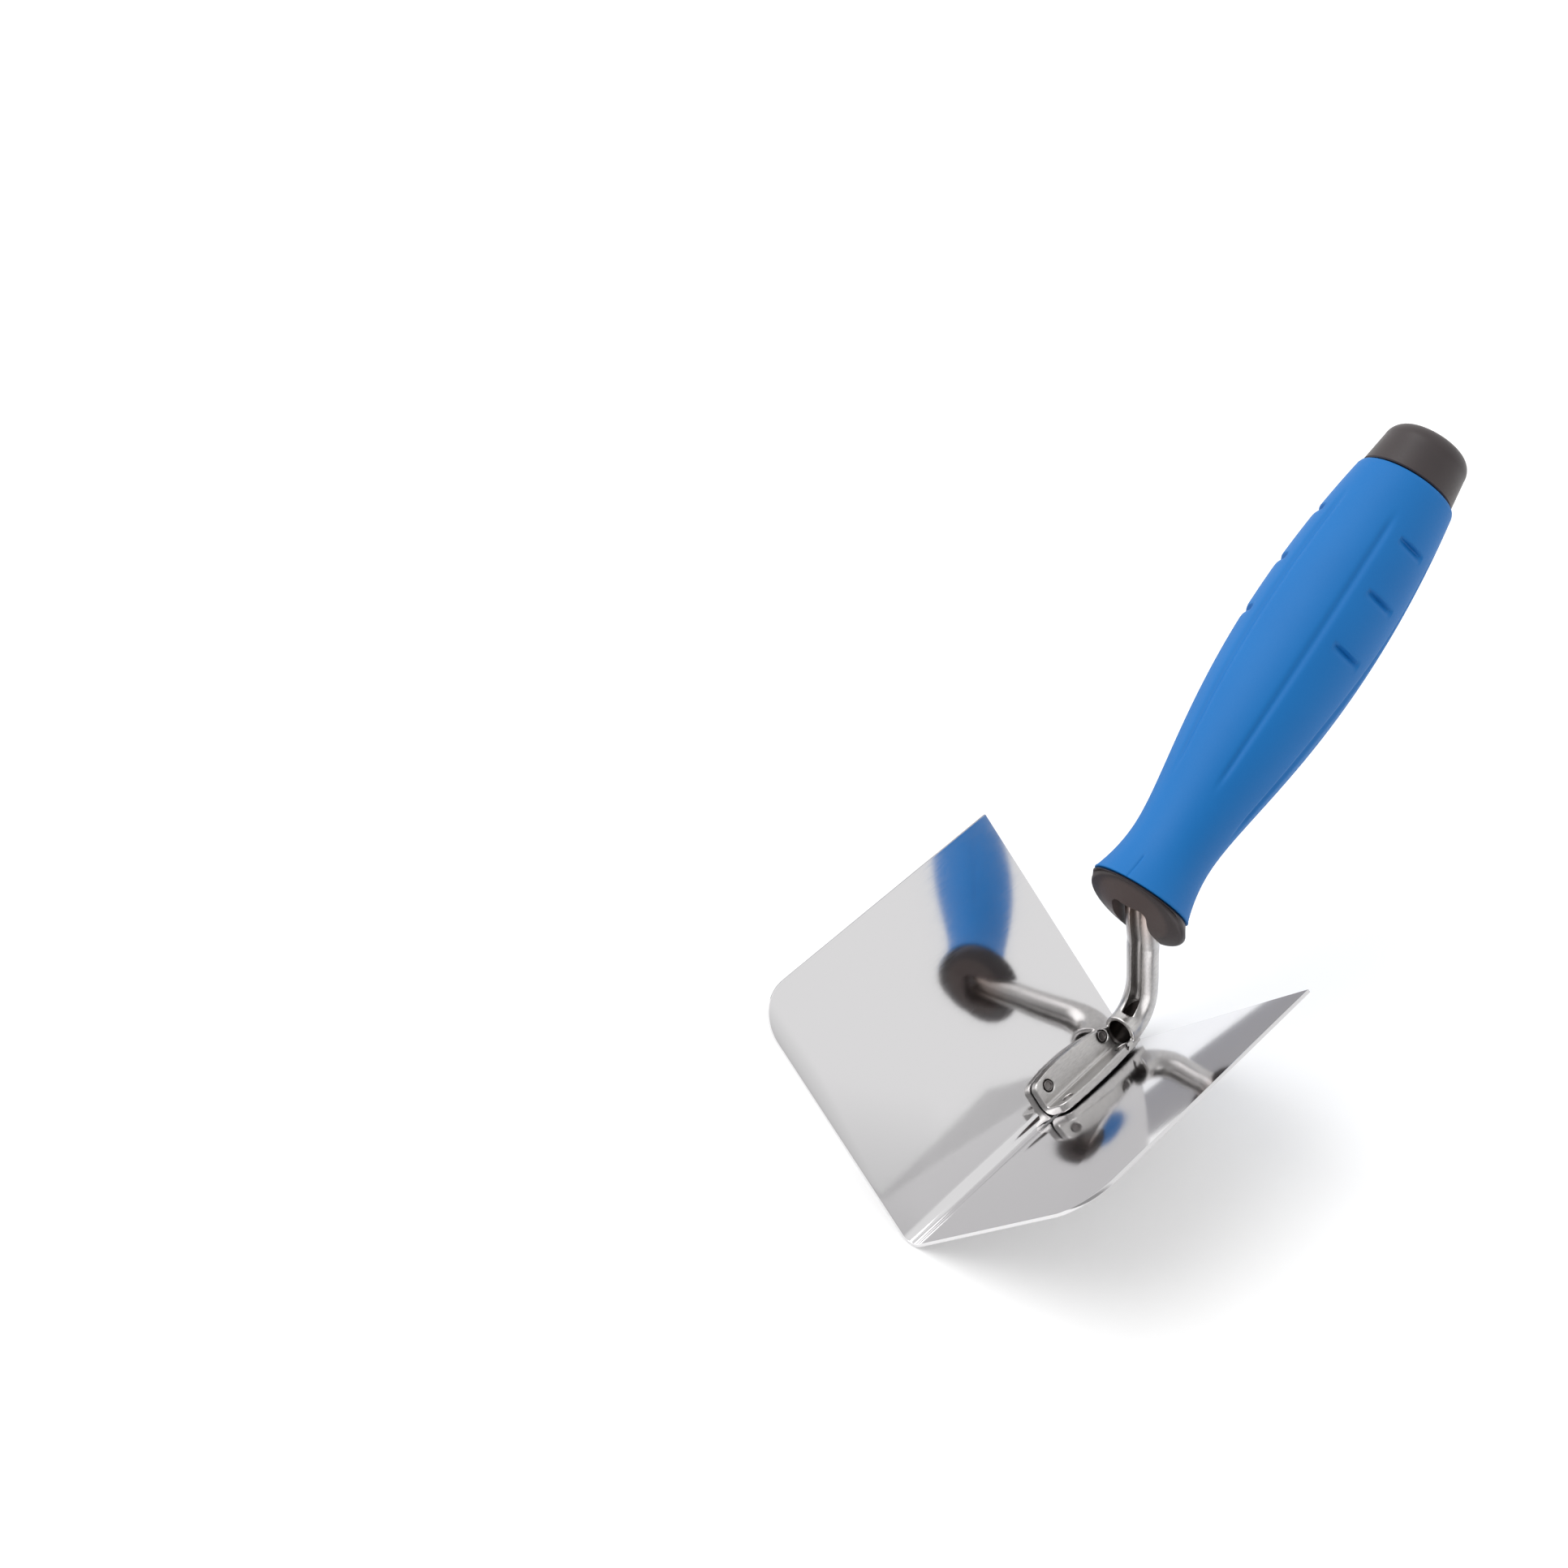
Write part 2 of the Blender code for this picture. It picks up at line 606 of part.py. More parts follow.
def make_core(axis, parent):
    outline = [
        (0, GRIP_LENGTH + SPIGOT_LENGTH),
        (SPIGOT_RADIUS, GRIP_LENGTH + SPIGOT_LENGTH),
        (SPIGOT_RADIUS, GRIP_LENGTH),
        (CORE_RADIUS, GRIP_LENGTH),
        (CORE_RADIUS, -NOSE_FACE_AHEAD),
        (0, -NOSE_FACE_AHEAD),
    ]
    core = turned("handle_core", outline, axis)
    boolean(core, as_cutter(lofted("nose_solid", nose_rings(), axis, TURN_STEPS)), "UNION")
    points, half_widths, half_depths = neck_rings(extra=CLEARANCE)
    points[-1] = points[-1] + HANDLE_AXIS * CLEARANCE
    socket = lofted("stem_socket", tube_rings(points, half_widths, half_depths), parent, NECK_SIDES)
    boolean(core, as_cutter(socket))
    boolean(core, as_cutter(make_slot(axis)))
    finish(core, material("dark_hard_plastic", (0.055, 0.045, 0.045), 0.42))
    return core


def make_cap(axis):
    round_centre = (CAP_END_RADIUS - CAP_ROUNDING, BUTT_END - CAP_ROUNDING)
    outline = [
        (0, BUTT_END),
        *arc_points(round_centre, CAP_ROUNDING, math.pi / 2, 0, ROUNDING_STEPS),
        (CAP_BASE_RADIUS, CAP_START),
        (0, CAP_START),
    ]
    cap = turned("butt_cap", outline, axis)
    cap.location.y = -CAP_RISE
    start = Vector((0, 0, CAP_START - OVERSHOOT))
    end = Vector((0, 0, GRIP_LENGTH + SPIGOT_LENGTH + CLEARANCE))
    boolean(cap, cylinder_cutter("spigot_socket", SPIGOT_RADIUS + CLEARANCE, start, end, axis))
    finish(cap, material("dark_cap_plastic", (0.06, 0.05, 0.05), 0.42))
    return cap


# ---------------------------------------------------------------- assembly

tool_frame = add_object("tool_frame", None, None)
tool_frame.location = (0, -reach() / 2, -FOLD_RISE)
handle_axis = add_object("handle_axis", None, tool_frame)
handle_axis.location = HANDLE_ROOT
handle_axis.rotation_euler = (HANDLE_ANGLE - math.pi / 2, 0, 0)

make_blade(tool_frame)
make_tang(tool_frame)
make_welds(tool_frame)
make_core(handle_axis, tool_frame)
make_grip(handle_axis)
make_cap(handle_axis)
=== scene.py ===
"""Looks of the inside corner trowel.

A polished stainless blade folded to 88 degrees, a pressed steel tang spot-welded into the fold and
a handle with a soft blue sleeve over a dark hard core. Sizes are in metres, +Z up. The blade and
the tang are modelled in the tool's frame, where y = 0 is the blade's front edge and z = 0 the line
where the outer faces would meet if the fold were sharp. The handle's pieces are modelled upright,
with +Z along the handle towards its butt and -Y as its upper side.
"""

import math

import bmesh
import bpy
from mathutils import Matrix, Vector
from mathutils.geometry import interpolate_bezier


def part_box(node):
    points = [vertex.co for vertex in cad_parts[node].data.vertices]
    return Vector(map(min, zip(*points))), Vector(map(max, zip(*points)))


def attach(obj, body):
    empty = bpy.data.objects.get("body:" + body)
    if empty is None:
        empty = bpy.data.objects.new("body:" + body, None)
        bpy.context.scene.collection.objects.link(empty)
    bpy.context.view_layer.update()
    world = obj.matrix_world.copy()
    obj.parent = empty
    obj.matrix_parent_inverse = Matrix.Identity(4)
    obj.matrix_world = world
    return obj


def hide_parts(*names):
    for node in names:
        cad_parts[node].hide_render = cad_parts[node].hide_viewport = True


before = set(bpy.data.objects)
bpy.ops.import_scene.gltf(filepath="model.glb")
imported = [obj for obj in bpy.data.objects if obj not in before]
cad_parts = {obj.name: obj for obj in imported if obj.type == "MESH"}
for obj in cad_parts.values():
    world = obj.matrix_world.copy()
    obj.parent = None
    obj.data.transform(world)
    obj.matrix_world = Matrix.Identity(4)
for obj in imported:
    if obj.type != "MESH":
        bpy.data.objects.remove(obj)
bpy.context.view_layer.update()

MM = 0.001
SAME_POINT = 0.001 * MM
OVERSHOOT = 1.0 * MM
CLEARANCE = 0.3 * MM
FULL_TURN = 2 * math.pi

# ---------------------------------------------------------------- sizes

BLADE_LOW, BLADE_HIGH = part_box("blade")
BLADE_LENGTH = BLADE_HIGH.y - BLADE_LOW.y
WING_WIDTH = 64 * MM
BLADE_THICKNESS = 0.8 * MM
HALF_FOLD = math.radians(44)
WING_LIFT = math.pi / 2 - HALF_FOLD
FOLD_RADIUS = 3.8 * MM
FOLD_RISE = FOLD_RADIUS * (1 / math.sin(HALF_FOLD) - 1)
BLADE_CORNER_RADIUS = 10 * MM
BEVEL_DIP = 0.035 * MM

FOOT_LIFT = BLADE_THICKNESS + CLEARANCE
FOOT_THICKNESS = 2.0 * MM
FOOT_LENGTH = 30 * MM
FOOT_REAR = BLADE_LENGTH - 1.5 * MM
FOOT_FRONT = FOOT_REAR - FOOT_LENGTH
FOOT_WIDTH = 10 * MM
FOOT_WIDEST = FOOT_FRONT + 11 * MM
FOOT_SIDE_RADIUS = 60 * MM
FOOT_CORNER_CUT = 1.7 * MM
FOOT_ROWS = 16

WELD_RADIUS = 1.2 * MM
WELD_UP_THE_WING = 7.0 * MM
WELD_ENDS = {"front": FOOT_FRONT + 3.8 * MM, "rear": FOOT_REAR - 6.0 * MM}
WELD_EDGE_ROUNDING = 0.12 * MM
WELD_DISH_RADIUS = 0.95 * MM

NECK_HALF_WIDTH = 4.05 * MM
NECK_HALF_DEPTH = 2.8 * MM
MOUTH_HALF_DEPTH = 4.4 * MM
NECK_WALL = 1.1 * MM
HOLLOW_AHEAD_OF_MOUTH = 1.0 * MM
SLIT_HALF_WIDTH = 1.5 * MM
SLIT_HALF_DEPTH = 2.2 * MM
SLIT_AHEAD_OF_CENTRE = 2.5 * MM
STEM_TURN = 6 * MM
STEM_LENGTH = 45 * MM
PRESSED_GRAIN = 0.22 * MM
BEND_STEPS, RISE_STEPS, STEM_STEPS = 14, 8, 4
MOUTH = Vector((0, FOOT_REAR - 3 * MM, 7.7 * MM))
NECK_FOOT = Vector((0, BLADE_LENGTH + 3.2 * MM, 17 * MM))
NECK_TOP = Vector((0, BLADE_LENGTH + 2.2 * MM, 32 * MM))

HANDLE_ANGLE = math.radians(31)
HANDLE_ROOT = Vector((0, BLADE_LENGTH - 0.4 * MM, 47.6 * MM))
HANDLE_AXIS = Vector((0, math.cos(HANDLE_ANGLE), math.sin(HANDLE_ANGLE)))

GRIP_LENGTH = 111.6 * MM
CORE_RADIUS = 7.6 * MM
# Angles on the grip are from its top, heights from its front end.
TOP_GROOVE_ANGLE = math.radians(29)
LOWER_GROOVE_ANGLE, LOWER_GROOVE_SWING = math.radians(90), math.radians(14)
DIMPLE_ANGLE = math.radians(61)
DIMPLE_FIRST, DIMPLE_STEP, DIMPLE_COUNT = 68.2 * MM, 14.35 * MM, 3
DIMPLE_HALF_LENGTH, DIMPLE_DEPTH = 4.5 * MM, 1.3 * MM
DIMPLE_STEEP, DIMPLE_SHALLOW = 0.35 * MM, 1.1 * MM
SEAM_ANGLE, SEAM_END, SEAM_WIDTH, SEAM_DEPTH = math.radians(3), 7.5, 0.22 * MM, 0.18 * MM
NOSE_BACK_RADIUS = 12.0 * MM
NOSE_FACE_RADIUS = 12.5 * MM
NOSE_FACE = Vector((0, 2.4 * MM, -2.0 * MM))
NOSE_FACE_LEAN = math.radians(11)
NOSE_ROUNDING = 1.0 * MM
NOSE_TIP_RADIUS = 3.6 * MM
NOSE_TIP_AHEAD = 3.6 * MM
SLOT_RISE = 3.2 * MM
SLOT_HALF_WIDTH = NECK_HALF_WIDTH + 0.6 * MM
SLOT_HEIGHT = 12 * MM
SLOT_MIDDLE = -6.6 * MM
SLOT_CORNER_CUT = 2.4 * MM
SPIGOT_RADIUS = 6.0 * MM
SPIGOT_LENGTH = 7.0 * MM
CAP_START = GRIP_LENGTH + CLEARANCE
CAP_LENGTH = 12.06 * MM
CAP_BASE_RADIUS = 11.4 * MM
CAP_END_RADIUS = 10.4 * MM
CAP_ROUNDING = 4.2 * MM
CAP_RISE = 0.6 * MM

TOOL_FRAME = Matrix.Translation((0, BLADE_LOW.y, -FOLD_RISE))
HANDLE_FRAME = (
    TOOL_FRAME @ Matrix.Translation(HANDLE_ROOT) @ Matrix.Rotation(HANDLE_ANGLE - math.pi / 2, 4, "X")
)

# ---------------------------------------------------------------- hand tools


def start(add, name, **settings):
    """Adds one primitive on its own and names it."""
    bpy.ops.object.select_all(action="DESELECT")
    add(**settings)
    piece = bpy.context.object
    piece.name = piece.data.name = name
    return piece


def pick(piece, kind, test):
    """Selects, in edit mode, only the verts, edges or faces that the test accepts."""
    mesh = bmesh.from_edit_mesh(piece.data)
    for element in [*mesh.verts, *mesh.edges, *mesh.faces]:
        element.select_set(False)
    for element in getattr(mesh, kind):
        if test(element):
            element.select_set(True)
    mesh.select_flush_mode()
    bmesh.update_edit_mesh(piece.data)


def edit(mode="VERT"):
    bpy.ops.object.mode_set(mode="EDIT")
    bpy.ops.mesh.select_mode(type=mode)


def turn(angle, axis, centre):
    """Turns what is selected, counterclockwise as seen from the axis's positive end."""
    bpy.ops.transform.rotate(value=-angle, orient_axis=axis, orient_type="GLOBAL", center_override=centre)


def apply(piece, kind, **settings):
    """Adds a modifier with its settings and applies it."""
    bpy.context.view_layer.objects.active = piece
    modifier = piece.modifiers.new(kind.lower(), kind)
    for name, value in settings.items():
        setattr(modifier, name, value)
    bpy.ops.object.modifier_apply(modifier=modifier.name)


def cut(piece, cutter, operation="DIFFERENCE"):
    """Cuts the cutter out of the piece, or joins it on, and throws the cutter away."""
    apply(piece, "BOOLEAN", object=cutter, operation=operation)
    bpy.data.objects.remove(cutter)


def tidy_normals(piece):
    bpy.context.view_layer.objects.active = piece
    edit()
    bpy.ops.mesh.select_all(action="SELECT")
    bpy.ops.mesh.remove_doubles(threshold=SAME_POINT)
    bpy.ops.mesh.normals_make_consistent(inside=False)
    bpy.ops.object.mode_set(mode="OBJECT")


def draw(name, outline):
    """Draws an open line of points: a plane is merged to one vertex, which is extruded on."""
    line = start(bpy.ops.mesh.primitive_plane_add, name, size=MM)
    edit()
    bpy.ops.mesh.merge(type="CENTER")
    bpy.ops.transform.translate(value=outline[0])
    for before, after in zip(outline, outline[1:]):
        bpy.ops.mesh.extrude_region_move(TRANSFORM_OT_translate={"value": after - before})
    return line


def lathe(name, outline, steps):
    """Spins an outline of (radius, height) points about +Z."""
    piece = draw(name, [Vector((radius, 0, height)) for radius, height in outline])
    bpy.ops.mesh.select_all(action="SELECT")
    bpy.ops.mesh.spin(steps=steps, angle=FULL_TURN, center=(0, 0, 0), axis=(0, 0, 1))
    bpy.ops.object.mode_set(mode="OBJECT")
    tidy_normals(piece)
    return piece


def slope(direction):
    """How far a direction in the plane of symmetry has turned up from +Y."""
    return math.atan2(direction.z, direction.y)


def sweep(name, points, half_widths, half_depths, sides):
    """Extrudes an oval along points in the plane of symmetry, turning and resizing it as it goes."""
    piece = start(
        bpy.ops.mesh.primitive_circle_add, name, vertices=sides, radius=1, fill_type="NGON",
        location=points[0], rotation=(math.pi / 2, 0, 0),
    )
    edit()
    bpy.ops.transform.resize(value=(half_widths[0], 1, half_depths[0]), center_override=points[0])
    last = len(points) - 1
    slopes = [slope(points[min(i + 1, last)] - points[max(i - 1, 0)]) for i in range(last + 1)]
    turn(slopes[0], "X", points[0])
    for i in range(last):
        bpy.ops.mesh.extrude_region_move(TRANSFORM_OT_translate={"value": points[i + 1] - points[i]})
        turn(-slopes[i], "X", points[i + 1])
        growth = (half_widths[i + 1] / half_widths[i], 1, half_depths[i + 1] / half_depths[i])
        bpy.ops.transform.resize(value=growth, center_override=points[i + 1])
        turn(slopes[i + 1], "X", points[i + 1])
    bpy.ops.object.mode_set(mode="OBJECT")
    tidy_normals(piece)
    return piece


def settle(piece, place=Matrix.Identity(4)):
    """Puts a piece in its place and leaves its object at the origin."""
    bpy.ops.object.select_all(action="DESELECT")
    piece.matrix_world = place @ piece.matrix_world
    piece.select_set(True)
    bpy.context.view_layer.objects.active = piece
    bpy.ops.object.transform_apply(location=True, rotation=True, scale=True)
    return piece


def finish(piece, made_of, node, smooth_angle=40):
    """Shades a settled piece, gives it its material and lets it stand for its CAD node."""
    bpy.ops.object.select_all(action="DESELECT")
    piece.select_set(True)
    bpy.context.view_layer.objects.active = piece
    bpy.ops.object.shade_smooth_by_angle(angle=math.radians(smooth_angle))
    piece.data.materials.clear()
    piece.data.materials.append(made_of)
    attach(piece, "root")
    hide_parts(node)


def arc(centre, radius, start_angle, end_angle, steps):
    angles = [start_angle + (end_angle - start_angle) * i / steps for i in range(steps + 1)]
    return [(centre[0] + radius * math.cos(a), centre[1] + radius * math.sin(a)) for a in angles]


# ---------------------------------------------------------------- materials


def linear(hex_colour):
    """Turns an sRGB hex colour into the linear one that a shader takes."""
    channels = [int(hex_colour[i : i + 2], 16) / 255 for i in (1, 3, 5)]
    curved = [c / 12.92 if c <= 0.04045 else ((c + 0.055) / 1.055) ** 2.4 for c in channels]
    return (*curved, 1)


def add(tree, kind, links=None, **settings):
    """Adds a node. Links gives each input its value or the socket that feeds it."""
    made = tree.nodes.new(kind)
    for name, value in settings.items():
        setattr(made, name, value)
    for name, value in (links or {}).items():
        if isinstance(value, bpy.types.NodeSocket):
            tree.links.new(value, made.inputs[name])
        else:
            made.inputs[name].default_value = value
    return made


def new_material(name):
    """A material and its tree, shader and object coordinates."""
    made = bpy.data.materials.new(name)
    made.use_nodes = True
    tree = made.node_tree
    return made, tree, tree.nodes["Principled BSDF"], add(tree, "ShaderNodeTexCoord").outputs["Object"]


def plain_material(name, colour, roughness):
    """A material of one colour all over."""
    made = bpy.data.materials.new(name)
    made.use_nodes = True
    shader = made.node_tree.nodes["Principled BSDF"]
    shader.inputs["Base Color"].default_value = linear(colour)
    shader.inputs["Roughness"].default_value = roughness
    return made, shader


# A noise scale is one over the grain's width. Real buffing lines, tumbling scuffs and moulded grain
# are a tenth of a millimetre or less, too fine to show, so they are drawn a few times as coarse.
BUFFING_LINES = 0.9 / MM
TUMBLING_SCUFFS = 1.2 / MM
WELD_GRAIN = 3.0 / MM
RUBBER_GRAIN = 2.6 / MM
RUBBER_CLOUDS = 0.06 / MM
PLASTIC_GRAIN = 1.5 / MM
PLASTIC_CLOUDS = 0.11 / MM


def polished_stainless():
    """Stainless sheet, buffed to a mirror: near neutral, and the buffing wheel's fine lines blur
    what it reflects."""
    made, tree, shader, place = new_material("polished_stainless_sheet")
    shader.inputs["Metallic"].default_value = 1.0
    stretched = add(tree, "ShaderNodeMapping", {"Vector": place, "Scale": (4, 0.25, 4)})
    lines = add(
        tree, "ShaderNodeTexNoise", {"Vector": stretched.outputs[0], "Scale": BUFFING_LINES, "Detail": 3}
    ).outputs["Fac"]
    roughness = add(
        tree, "ShaderNodeMapRange",
        {"Value": lines, "From Min": 0.3, "From Max": 0.7, "To Min": 0.08, "To Max": 0.12},
    )
    tree.links.new(roughness.outputs[0], shader.inputs["Roughness"])
    bump = add(tree, "ShaderNodeBump", {"Height": lines, "Strength": 0.05, "Distance": 0.02 * MM})
    tree.links.new(bump.outputs[0], shader.inputs["Normal"])
    shader.inputs["Base Color"].default_value = linear("#D9D8D9")
    return made


def painted_recess_shade(tree, place):
    """Painted shade: one inside the neck's mouth and its slit, darkening these recesses as if they lay in
    shade.
    """
    middle = TOOL_FRAME @ MOUTH
    around = add(
        tree, "ShaderNodeMapping",
        {"Vector": place, "Location": middle, "Scale": (3.3 * MM, 1, 3.7 * MM)}, vector_type="TEXTURE",
    )
    flat = add(tree, "ShaderNodeVectorMath", {0: around.outputs[0], 1: (1, 0, 1)}, operation="MULTIPLY")
    radius = add(tree, "ShaderNodeVectorMath", {0: flat.outputs[0]}, operation="LENGTH").outputs["Value"]
    in_mouth = add(tree, "ShaderNodeMapRange", {"Value": radius, "From Min": 0.96, "From Max": 0.9})
    parts = add(tree, "ShaderNodeSeparateXYZ", {"Vector": place}).outputs
    behind = add(
        tree, "ShaderNodeMapRange",
        {"Value": parts["Y"], "From Min": middle.y - 0.1 * MM, "From Max": middle.y + 0.3 * MM},
    )
    mouth = add(tree, "ShaderNodeMath", {0: in_mouth.outputs[0], 1: behind.outputs[0]}, operation="MULTIPLY")
    slit_back = (TOOL_FRAME @ NECK_FOOT).y + 0.4 * MM
    across = add(tree, "ShaderNodeMath", {0: parts["X"]}, operation="ABSOLUTE")
    narrow = add(
        tree, "ShaderNodeMapRange",
        {"Value": across.outputs[0], "From Min": SLIT_HALF_WIDTH, "From Max": SLIT_HALF_WIDTH - 0.2 * MM},
    )
    ahead = add(
        tree, "ShaderNodeMapRange", {"Value": parts["Y"], "From Min": slit_back, "From Max": slit_back - MM}
    )
    above = add(tree, "ShaderNodeMapRange", {"Value": parts["Z"], "From Min": 12 * MM, "From Max": 14 * MM})
    front = add(tree, "ShaderNodeMath", {0: narrow.outputs[0], 1: ahead.outputs[0]}, operation="MULTIPLY")
    upper = add(tree, "ShaderNodeMath", {0: front.outputs[0], 1: above.outputs[0]}, operation="MULTIPLY")
    slit = add(tree, "ShaderNodeMath", {0: upper.outputs[0], 1: 0.5}, operation="MULTIPLY")
    either = add(tree, "ShaderNodeMath", {0: mouth.outputs[0], 1: slit.outputs[0]}, operation="MAXIMUM")
    return either.outputs[0]


def pressed_steel():
    """Mild steel, pressed and tumbled: dull, scuffed along its length, browner towards the handle, with
    painted shade inside the neck's mouth and slit.
    """
    made, tree, shader, place = new_material("pressed_tumbled_steel")
    shader.inputs["Metallic"].default_value = 1.0
    stretched = add(tree, "ShaderNodeMapping", {"Vector": place, "Scale": (3, 0.6, 1)})
    scuffs = add(
        tree, "ShaderNodeTexNoise", {"Vector": stretched.outputs[0], "Scale": TUMBLING_SCUFFS, "Detail": 4}
    ).outputs["Fac"]
    tone = add(tree, "ShaderNodeMix", {"Factor": scuffs}, data_type="RGBA")
    tone.inputs["A"].default_value = linear("#B0AEAD")
    tone.inputs["B"].default_value = linear("#DCDAD8")
    height = add(tree, "ShaderNodeSeparateXYZ", {"Vector": place}).outputs["Z"]
    heat = add(
        tree, "ShaderNodeMapRange",
        {"Value": height, "From Min": 32 * MM, "From Max": 43 * MM, "To Min": 0.0, "To Max": 0.75},
    )
    tinted = add(tree, "ShaderNodeMix", {"Factor": heat.outputs[0]}, data_type="RGBA")
    tree.links.new(tone.outputs["Result"], tinted.inputs["A"])
    tinted.inputs["B"].default_value = linear("#B79F93")
    # Painted shade: the steel is darkened towards #524D4B inside the neck's mouth and slit.
    shade = painted_recess_shade(tree, place)
    dark = add(tree, "ShaderNodeMix", {"Factor": shade}, data_type="RGBA")
    tree.links.new(tinted.outputs["Result"], dark.inputs["A"])
    dark.inputs["B"].default_value = linear("#524D4B")
    tree.links.new(dark.outputs["Result"], shader.inputs["Base Color"])
    roughness = add(tree, "ShaderNodeMapRange", {"Value": scuffs, "To Min": 0.26, "To Max": 0.38})
    tree.links.new(roughness.outputs[0], shader.inputs["Roughness"])
    bump = add(tree, "ShaderNodeBump", {"Height": scuffs, "Strength": 0.03, "Distance": 0.04 * MM})
    tree.links.new(bump.outputs[0], shader.inputs["Normal"])
    return made


def weld_steel():
    """Spot-welded steel: squeezed by the electrode and darkened by the heat."""
    made, tree, shader, place = new_material("spot_welded_steel")
    shader.inputs["Metallic"].default_value = 1.0
    grain = add(
        tree, "ShaderNodeTexNoise", {"Vector": place, "Scale": WELD_GRAIN, "Detail": 3}
    ).outputs["Fac"]
    tone = add(tree, "ShaderNodeMix", {"Factor": grain}, data_type="RGBA")
    tone.inputs["A"].default_value = linear("#6E6A69")
    tone.inputs["B"].default_value = linear("#979392")
    tree.links.new(tone.outputs["Result"], shader.inputs["Base Color"])
    shader.inputs["Roughness"].default_value = 0.38
    return made


def soft_rubber():
    """Thermoplastic rubber, moulded with a fine matt grain: broad soft highlights."""
    made, tree, shader, place = new_material("moulded_soft_rubber")
    grain = add(
        tree, "ShaderNodeTexNoise", {"Vector": place, "Scale": RUBBER_GRAIN, "Detail": 2}
    ).outputs["Fac"]
    cloud = add(
        tree, "ShaderNodeTexNoise", {"Vector": place, "Scale": RUBBER_CLOUDS, "Detail": 3}
    ).outputs["Fac"]
    tone = add(tree, "ShaderNodeMix", {"Factor": cloud}, data_type="RGBA")
    tone.inputs["A"].default_value = linear("#0067AE")
    tone.inputs["B"].default_value = linear("#046DB5")
    tree.links.new(tone.outputs["Result"], shader.inputs["Base Color"])
    roughness = add(tree, "ShaderNodeMapRange", {"Value": grain, "To Min": 0.5, "To Max": 0.66})
    tree.links.new(roughness.outputs[0], shader.inputs["Roughness"])
    shader.inputs["IOR"].default_value = 1.5
    shader.inputs["Specular IOR Level"].default_value = 0.35
    bump = add(tree, "ShaderNodeBump", {"Height": grain, "Strength": 0.12, "Distance": 0.06 * MM})
    tree.links.new(bump.outputs[0], shader.inputs["Normal"])
    return made


def hard_plastic():
    """Polypropylene with glass fibre, moulded satin: warm near-black with a low sheen. Its end faces are
    painted lighter as painted light, as if lit, and their rims stay darker.
    """
    made, tree, shader, place = new_material("moulded_polypropylene")
    grain = add(
        tree, "ShaderNodeTexNoise", {"Vector": place, "Scale": PLASTIC_GRAIN, "Detail": 3}
    ).outputs["Fac"]
    cloud = add(
        tree, "ShaderNodeTexNoise", {"Vector": place, "Scale": PLASTIC_CLOUDS, "Detail": 3}
    ).outputs["Fac"]
    tone = add(tree, "ShaderNodeMix", {"Factor": cloud}, data_type="RGBA")
    tone.inputs["A"].default_value = linear("#2C2526")
    tone.inputs["B"].default_value = linear("#3B3233")
    along = add(
        tree, "ShaderNodeMapping",
        {"Vector": place, "Location": HANDLE_FRAME.translation, "Rotation": HANDLE_FRAME.to_euler()},
        vector_type="TEXTURE",
    )
    flat = add(tree, "ShaderNodeVectorMath", {0: along.outputs[0], 1: (1, 1, 0)}, operation="MULTIPLY")
    radius = add(tree, "ShaderNodeVectorMath", {0: flat.outputs[0]}, operation="LENGTH").outputs["Value"]
    # Painted light: within about 9 mm of the handle's axis, the nose face and the cap's end get a lighter
    # tone, as if lit.
    lit_face_mask = add(
        tree, "ShaderNodeMapRange",
        {"Value": radius, "From Min": 8.6 * MM, "From Max": 9.6 * MM, "To Min": 1.0, "To Max": 0.0},
    )
    painted_face_light = add(tree, "ShaderNodeMix", {"Factor": lit_face_mask.outputs[0]}, data_type="RGBA")
    tree.links.new(tone.outputs["Result"], painted_face_light.inputs["A"])
    painted_face_light.inputs["B"].default_value = linear("#4C403E")
    tree.links.new(painted_face_light.outputs["Result"], shader.inputs["Base Color"])
    roughness = add(tree, "ShaderNodeMapRange", {"Value": grain, "To Min": 0.36, "To Max": 0.52})
    tree.links.new(roughness.outputs[0], shader.inputs["Roughness"])
    bump = add(tree, "ShaderNodeBump", {"Height": grain, "Strength": 0.1, "Distance": 0.05 * MM})
    tree.links.new(bump.outputs[0], shader.inputs["Normal"])
    return made


# ---------------------------------------------------------------- folded pieces


def fold(piece, bend_radius, segments):
    """In edit mode: lifts both halves of a flat sheet about x = 0 and rounds the crease. The bevel's
    arc dips a little under a true circle, so it is made a little larger."""
    for side in (-1, 1):
        pick(piece, "verts", lambda v: v.co.x * side > SAME_POINT)
        turn(-side * WING_LIFT, "Y", (0, 0, 0))
    pick(piece, "edges", lambda e: all(abs(v.co.x) < SAME_POINT for v in e.verts))
    offset = (bend_radius + BEVEL_DIP) / math.tan(HALF_FOLD)
    bpy.ops.mesh.bevel(offset=offset, segments=segments, profile=0.5)


